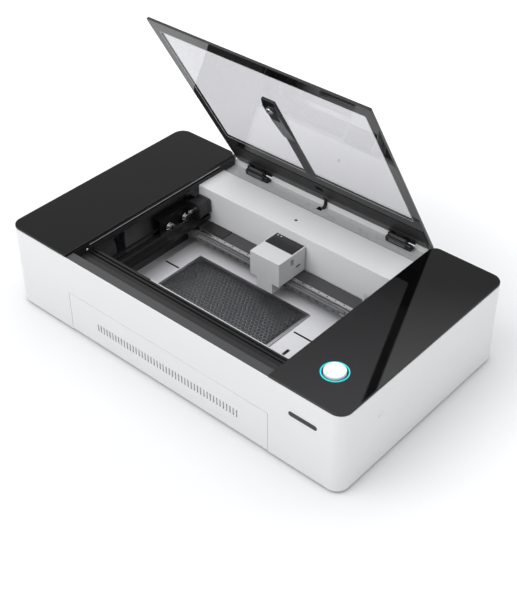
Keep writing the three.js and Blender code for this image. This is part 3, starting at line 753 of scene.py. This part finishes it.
def drilled_plates(bm):
    half = (PLATE_X[1] - PLATE_X[0]) / 2
    for y0, y1 in ((20, 72), (94, 142)):
        middle = (y0 + y1) / 2
        for low, high in ((y0, middle), (middle, y1)):
            centre = (sum(PLATE_X) / 2, (low + high) / 2)
            outer = []
            inner = circle(PLATE_HOLE, *centre, 24)
            for a, b in inner:
                reach = max(abs(a - centre[0]) / half, abs(b - centre[1]) / ((high - low) / 2))
                outer.append((centre[0] + (a - centre[0]) / reach, centre[1] + (b - centre[1]) / reach))
            add_band(bm, "z", outer, inner, CARRIAGE_TOP, CARRIAGE_TOP + 3)
    bmesh.ops.remove_doubles(bm, verts=bm.verts, dist=0.001)


# The slanted slots are thin near-black plates of painted shade on the carriage sides.
def slanted_slots(bm):
    for y in (34, 58, 82, 106):
        add_prism(bm, "x", [(y, 90), (y + 7, 90), (y + 21, 134), (y + 14, 134)],
                  CARRIAGE_SIDE, CARRIAGE_SIDE + 0.45)


def axle_nuts(bm):
    for side in (-1, 1):
        for y in AXLE_Y:
            add_prism(bm, "x", circle(6, y, AXLE_Z, 6), *sorted((side * CARRIAGE_SIDE, side * 339.4)))
            add_rod(bm, "x", 3.2, y, AXLE_Z, *sorted((side * 339, side * 341.4)), 16)


piece("carriage_top_plates", drilled_plates, "aluminium", "gantry", bevel=0)
piece("carriage_slot_shade", slanted_slots, "black_metal", "gantry", PAINTED_SHADE, bevel=0)
piece("carriage_axle_nuts", axle_nuts, "steel", "gantry", bevel=0.3)
# The wear strips of both rails, in one piece.
piece("left_rail_wear_strip",
      blocks((-293, -291, -232, 150, 121.9, 122.25), (291, 293, -232, 150, 121.9, 122.25)),
      "steel", "case", bevel=0)

# ---------- laser head ----------
head_high = node_mm("head_housing")[1]
HEAD_TOP = head_high.z
PLATE_TOP = HEAD_TOP + 1.8
piece("head_top_plate", blocks((-42, 41.5, 101, 145.6, HEAD_TOP - 0.2, PLATE_TOP)), "black_metal", "head",
      bevel=0.5)
piece("head_plate_screws", screws("z", [(x, 140, PLATE_TOP) for x in (-34, -24)], 1, 0.8), "steel", "head",
      bevel=0)
# The head's side slot is a thin near-black sheet of painted shade.
piece("head_side_slot_shade", blocks((head_high.x - 0.1, head_high.x + 0.25, 112, 128, 126, 129.5)), "black_metal",
      "head", PAINTED_SHADE, bevel=0)


def focus_collar(bm):
    add_turned(bm, "z", [(11.2, 84), (13.2, 84), (13.6, 85), (13.6, 91), (13.2, 92), (11.2, 92)],
               (0, 64, 0), 40, closed=True)


piece("focus_collar", focus_collar, "black_metal", BODY_OF["lens_tube"], bevel=0.15)

# ---------- start button ----------
BUTTON_X = 403.5
BUTTON_Y = -195.5


def lit_ring(bm):
    profile = [(28, 216.6), (31, 216.6), (31, 218.2), (30.3, 218.8), (28.7, 218.8), (28, 218.2)]
    add_turned(bm, "z", profile, (BUTTON_X, BUTTON_Y, 0), 72, closed=True)


def sleeve(bm):
    """A cup round the cap, whose floor leaves the pressed cap its travel."""
    profile = [(0, 196.2), (27.7, 196.2), (27.9, 217.2), (25.3, 217.2), (25.3, 197.8), (0, 197.8)]
    add_turned(bm, "z", profile, (BUTTON_X, BUTTON_Y, 0), 56)


piece("button_light", lit_ring, "light_ring", BODY_OF["button_ring"], bevel=0, replaces=["button_ring"])
piece("button_sleeve", sleeve, "black_metal", BODY_OF["button_ring"], bevel=0.2)

# ---------- lights in the bay, vents, speaker ----------
piece("skirt_light_strips", both_sides((307.2, 308.7, -215.5, 229.5, 204.4, 206.7)), "white_inner", "case",
      DIFFUSER_AND_HIGHLIGHT, bevel=0.2)
piece("crossbar_light", blocks((-120, 306, -203.9, -201.4, 189.8, 190.7)), "white_inner", "case", DIFFUSER_AND_HIGHLIGHT,
      bevel=0.2)
piece("bay_lamp", lambda bm: add_turned(bm, "x", [(0, 1.6), (1.6, 1.4), (2.6, 0.4), (2.8, -0.5), (0, -0.5)],
                                        (-307, -224, 197), 24), "button_white", "case", bevel=0)
# Near-black strips across the tray are a painted shadow line where the gap in front of the rear floor lies in
# shade.
piece("tray_gap_shadow", blocks((130, 289, 3, 8, 41.9, 42.12), (-289, -243, 3, 8, 41.9, 42.12)), "black_metal",
      BODY_OF["drawer_tray"], PAINTED_SHADE, bevel=0)
piece("vent_backing", blocks((-220, 226, -288.6, -287.9, 42.6, 67)), "white_inner", BODY_OF["drawer_front"],
      bevel=0)
# A near-black disc of painted shade behind the speaker holes.
piece("speaker_hole_shade", lambda bm: add_rod(bm, "x", 12, -163, 137, 496.6, 497.6), "rubber", "case", PAINTED_SHADE,
      bevel=0)
piece("front_badge", lambda bm: add_prism(bm, "y", rounded(363, 437, 143, 155, 5.9), -292.7, -291.8),
      "black_plastic", "case", bevel=0.25)

# ---------- the back ----------
DUCT_X = -150
DUCT_Z = 92
GUARD_RINGS = (12, 21, 30, 39)  # radii
GUARD_SPOKES = 4


def duct_guard(bm):
    for radius in GUARD_RINGS:
        add_band(bm, "y", circle(radius + 0.8, DUCT_X, DUCT_Z, 56), circle(radius - 0.8, DUCT_X, DUCT_Z, 56),
                 316, 317.6)
    for i in range(GUARD_SPOKES):
        turn = math.pi / 4 + i * math.pi / 2
        across = Vector((math.cos(turn), math.sin(turn)))
        side = Vector((-across.y, across.x)) * 0.9
        near, far = across * 3, across * 47.4
        corners = [near + side, far + side, far - side, near - side]
        add_prism(bm, "y", [(DUCT_X + c.x, DUCT_Z + c.y) for c in corners], 317.7, 319.3)


def duct_clamp(bm):
    add_band(bm, "y", circle(51.2, DUCT_X, DUCT_Z, 64), circle(50.1, DUCT_X, DUCT_Z, 64), 297, 306)
    add_box(bm, (DUCT_X - 5, 296, DUCT_Z + 50.4), (DUCT_X + 5, 307, DUCT_Z + 54.5))


piece("duct_guard", duct_guard, "steel", "case", bevel=0.2)
piece("duct_clamp", duct_clamp, "steel", "case", bevel=0.2)


SOCKET_Y = (280.5, 291.6)  # from the bottom of a socket's shell to its mouth


def inlet_pins(bm):
    for x, z in ((347, 48), (361, 48), (354, 55)):
        add_prism(bm, "y", rounded(x - 1, x + 1, z - 2.4, z + 2.4, 0.6, 3), 276.2, 287)


def network_socket(bm):
    add_band(bm, "y", rounded(250.3, 265.7, 50.3, 63.7, 0.6, 2), rounded(251.6, 264.4, 51.6, 62.4, 0.4, 2),
             *SOCKET_Y)


CONTACTS = 8
CONTACT_PITCH = 1.25


def network_contacts(bm):
    for i in range(CONTACTS):
        x = 253.6 + i * CONTACT_PITCH
        add_box(bm, (x, 282, 60.2), (x + 0.5, 289, 61.6))


def usb_socket(bm):
    add_band(bm, "y", rounded(250.3, 262.7, 74.3, 81.7, 0.5, 2), rounded(251, 262, 75, 81, 0.4, 2),
             *SOCKET_Y)


piece("inlet_pins", inlet_pins, "steel", "case", bevel=0)
piece("network_socket_shell", network_socket, "electronics", "case", bevel=0.1)
piece("network_contacts", network_contacts, "steel", "case", BRASS, bevel=0)
piece("usb_socket_shell", usb_socket, "electronics", "case", bevel=0.1)
piece("usb_tongue", blocks((252, 261, 281, 290.5, 78.4, 80.2)), "black_plastic", "case", bevel=0.15)
# Near-black plates of painted shade at the back of the sockets.
piece("socket_back_shade", blocks((248, 268, 278.5, 280, 48, 84)), "black_plastic", "case", PAINTED_SHADE, bevel=0)
REAR_SCREWS = [(x, 292, z) for x in (-436, -220, 0, 220, 436) for z in (7.5, 178)]
piece("rear_screws", screws("y", REAR_SCREWS, 1, 1.1), "black_metal", "case", SCREW_BLACK, bevel=0)
piece("base_screws", screws("z", [(x, y, 2) for x in (-440, -150, 150, 440) for y in (-180, 180)], -1, 1.1),
      "black_metal", "case", SCREW_BLACK, bevel=0)

# ---------- pump, tank, supply ----------
PUMP_Y = -150
PUMP_Z = 110
RIB_RADII = (57, 55.2)
RIBS = 9
RIB_PITCH = 9
RIB_WIDTH = 3.4
FIRST_RIB_X = -436


def pump_ribs(bm):
    """Half rings over the pump's round top."""
    steps = 24
    outer, inner = ([(PUMP_Y + radius * math.cos(k * math.pi / steps),
                      PUMP_Z + radius * math.sin(k * math.pi / steps)) for k in range(steps + 1)]
                    for radius in RIB_RADII)
    for i in range(RIBS):
        x0 = FIRST_RIB_X + i * RIB_PITCH
        add_prism(bm, "x", outer + inner[::-1], x0, x0 + RIB_WIDTH)


piece("air_pump_ribs", pump_ribs, "black_plastic", "case", bevel=0.5)


def tank_cap(bm):
    add_turned(bm, "z", [(0, 168), (20, 168), (22, 166), (22, 153), (24, 151), (24, 150.1), (0, 150.1)],
               (-425, 120, 0), 36)


piece("tank_cap", tank_cap, "black_plastic", "case", bevel=0.4)


def supply_grille(bm):
    for radius in (10, 18, 26, 34):
        add_band(bm, "y", circle(radius + 1, 425, 48, 40), circle(radius - 1, 425, 48, 40), -61.8, -60.2)


piece("supply_fan_grille", supply_grille, "black_metal", "case", bevel=0.2)

# ---------- honeycomb bed ----------
CELL = 11.0
CELL_WALL = 0.7
CELLS_RIM = 6  # the cells start this far inside the bed's edge
RIM_WIDTH = 6.5


def honeycomb(bm):
    """Hexagonal tubes side by side, each open at the top and bottom."""
    low, high = node_mm("honeycomb_bed")
    row = CELL * math.sqrt(3) / 2
    reach = (CELL - CELL_WALL) / math.sqrt(3)
    x_count = int((high.x - low.x - 2 * CELLS_RIM) / CELL) - 1
    y_count = int((high.y - low.y - 2 * CELLS_RIM) / row) - 1
    x_start = (low.x + high.x) / 2 - (x_count - 0.5) * CELL / 2
    y_start = (low.y + high.y) / 2 - (y_count - 1) * row / 2
    for j in range(y_count):
        for i in range(x_count):
            x = x_start + (i + 0.5 * (j % 2)) * CELL
            y = y_start + j * row
            outer = circle(CELL / math.sqrt(3), x, y, 6, math.pi / 6)
            inner = circle(reach, x, y, 6, math.pi / 6)
            levels = []
            for z in (low.z + 1, high.z - 0.2):
                levels.append([[bm.verts.new((a, b, z)) for a, b in ring] for ring in (outer, inner)])
            for k in range(6):
                n = (k + 1) % 6
                (ol, il), (oh, ih) = levels
                bm.faces.new((oh[k], oh[n], ih[n], ih[k]))
                bm.faces.new((ol[n], ol[k], il[k], il[n]))
                bm.faces.new((il[k], ih[k], ih[n], il[n]))
                bm.faces.new((oh[k], ol[k], ol[n], oh[n]))


piece("honeycomb_core", honeycomb, "aluminium", "drawer", bevel=0)


def bed_rim(bm):
    low, high = node_mm("honeycomb_bed")
    rim = RIM_WIDTH
    for x0, x1, y0, y1 in ((low.x, high.x, low.y, low.y + rim), (low.x, high.x, high.y - rim, high.y),
                           (low.x, low.x + rim, low.y + rim, high.y - rim),
                           (high.x - rim, high.x, low.y + rim, high.y - rim)):
        add_box(bm, (x0, y0, low.z), (x1, y1, high.z))


piece("honeycomb_rim", bed_rim, "aluminium", "drawer", replaces=["honeycomb_bed"])


# ---------- laser tube: glass between two metal end caps ----------
TUBE_CAP = 30  # length of the metal cap at each end


def laser_tube(bm):
    low, high = node_mm("laser_tube")
    y, z = (low.y + high.y) / 2, (low.z + high.z) / 2
    radius = (high.z - low.z) / 2
    x0, x1 = low.x + TUBE_CAP, high.x - TUBE_CAP
    profile = [(0, x0), (radius - 4, x0), (radius, x0 + 5), (radius, x1 - 5), (radius - 4, x1), (0, x1)]
    add_turned(bm, "x", profile, (0, y, z), 48)


def tube_metal(bm):
    low, high = node_mm("laser_tube")
    y, z = (low.y + high.y) / 2, (low.z + high.z) / 2
    for end, inward in ((low.x, 1), (high.x, -1)):
        profile = [(0, 0), (9, 0), (9, 8), (7, 10), (7, TUBE_CAP - 0.5), (0, TUBE_CAP - 0.5)]
        add_turned(bm, "x", [(r, t * inward) for r, t in profile], (end, y, z), 32)


piece("laser_tube_glass", laser_tube, "tube_glass", "case", bevel=0, replaces=["laser_tube"])
piece("laser_tube_caps", tube_metal, "steel", "case", bevel=0.4)


# ---------- studio ----------
# The sky's brightness by the sine of its height: dark where the flat black tops mirror it, bright overhead.
SKY = [(0.0, 0.62), (0.12, 0.46), (0.32, 0.3), (0.5, 0.265), (0.61, 0.24), (0.69, 1.0), (0.86, 0.86),
       (1.0, 0.86)]
SKY_TINT = (0.985, 0.99, 1.0)
SKY_STRENGTH = 1.55
FLOOR_GLOW_FROM = (0.5, 1.1)  # the floor turns pure white between these distances from the case
FLOOR_GLOW = 0.3
FLOOR_SIZE = 40  # metres
KEY_WATTS = 60
BAY_WATTS = 0.38


def studio():
    world = bpy.data.worlds.new("studio")
    bpy.context.scene.world = world
    world.use_nodes = True
    tree = world.node_tree
    direction = tree.nodes.new("ShaderNodeTexCoord").outputs["Generated"]
    split = tree.nodes.new("ShaderNodeSeparateXYZ")
    tree.links.new(direction, split.inputs["Vector"])
    ramp = tree.nodes.new("ShaderNodeValToRGB")
    ramp.color_ramp.elements[0].position = 0.0
    ramp.color_ramp.elements[1].position = 1.0
    while len(ramp.color_ramp.elements) < len(SKY):
        ramp.color_ramp.elements.new(0.5)
    for element, (height, brightness) in zip(ramp.color_ramp.elements, SKY):
        element.position = height
        element.color = (*[brightness * tint for tint in SKY_TINT], 1)
    tree.links.new(split.outputs["Z"], ramp.inputs["Fac"])
    tree.links.new(ramp.outputs["Color"], tree.nodes["Background"].inputs["Color"])
    tree.nodes["Background"].inputs["Strength"].default_value = SKY_STRENGTH

    bm = bmesh.new()
    bmesh.ops.create_grid(bm, x_segments=4, y_segments=4, size=FLOOR_SIZE)
    mesh = bpy.data.meshes.new("floor")
    bm.to_mesh(mesh)
    bm.free()
    floor = bpy.data.objects.new("floor", mesh)
    bpy.context.scene.collection.objects.link(floor)
    white = surface("floor_white", (0.79, 0.792, 0.797), 0.6, bump=0.0, mottle=0.0, specular=0.2)
    tree = white.node_tree
    place = tree.nodes.new("ShaderNodeTexCoord").outputs["Object"]
    reach = tree.nodes.new("ShaderNodeVectorMath")
    reach.operation = "LENGTH"
    tree.links.new(place, reach.inputs[0])
    glow = tree.nodes.new("ShaderNodeMapRange")
    glow.interpolation_type = "SMOOTHSTEP"
    glow.inputs["From Min"].default_value, glow.inputs["From Max"].default_value = FLOOR_GLOW_FROM
    glow.inputs["To Max"].default_value = FLOOR_GLOW
    tree.links.new(reach.outputs["Value"], glow.inputs["Value"])
    tree.nodes["Principled BSDF"].inputs["Emission Color"].default_value = (1, 1, 1, 1)
    tree.links.new(glow.outputs["Result"], tree.nodes["Principled BSDF"].inputs["Emission Strength"])
    mesh.materials.append(white)

    def lamp(name, place, target, size, watts):
        data = bpy.data.lights.new(name, "AREA")
        data.shape = "RECTANGLE"
        data.size, data.size_y = size
        data.energy = watts
        light = bpy.data.objects.new(name, data)
        bpy.context.scene.collection.objects.link(light)
        light.location = place
        light.rotation_euler = (Vector(target) - Vector(place)).to_track_quat("-Z", "Y").to_euler()
        return light

    lamp("key", (-1.1, -2.3, 3.5), (0, 0, 0.2), (2.8, 2.8), KEY_WATTS)
    bay = lamp("bay", at(0, -170, 420), at(0, 160, 150), (0.56, 0.1), BAY_WATTS)
    bay.visible_glossy = False


studio()

# ---------- camera: metres in the case's frame ----------
CAMERA_AT = Vector((1.4720, -1.6354, 1.8423))
AIM_AT = Vector((0.0281, 0.0250, 0.1421))
FOCAL = 71.58
SHIFT = (-0.0131, -0.0393)
camera_data = bpy.data.cameras.new("camera")
camera_data.lens = FOCAL
camera_data.shift_x, camera_data.shift_y = SHIFT
camera = bpy.data.objects.new("camera", camera_data)
bpy.context.scene.collection.objects.link(camera)
camera.location = CASE_ORIGIN + CAMERA_AT
camera.rotation_euler = (AIM_AT - CAMERA_AT).to_track_quat("-Z", "Y").to_euler()
bpy.context.scene.camera = camera
bpy.context.scene.view_settings.view_transform = "Standard"
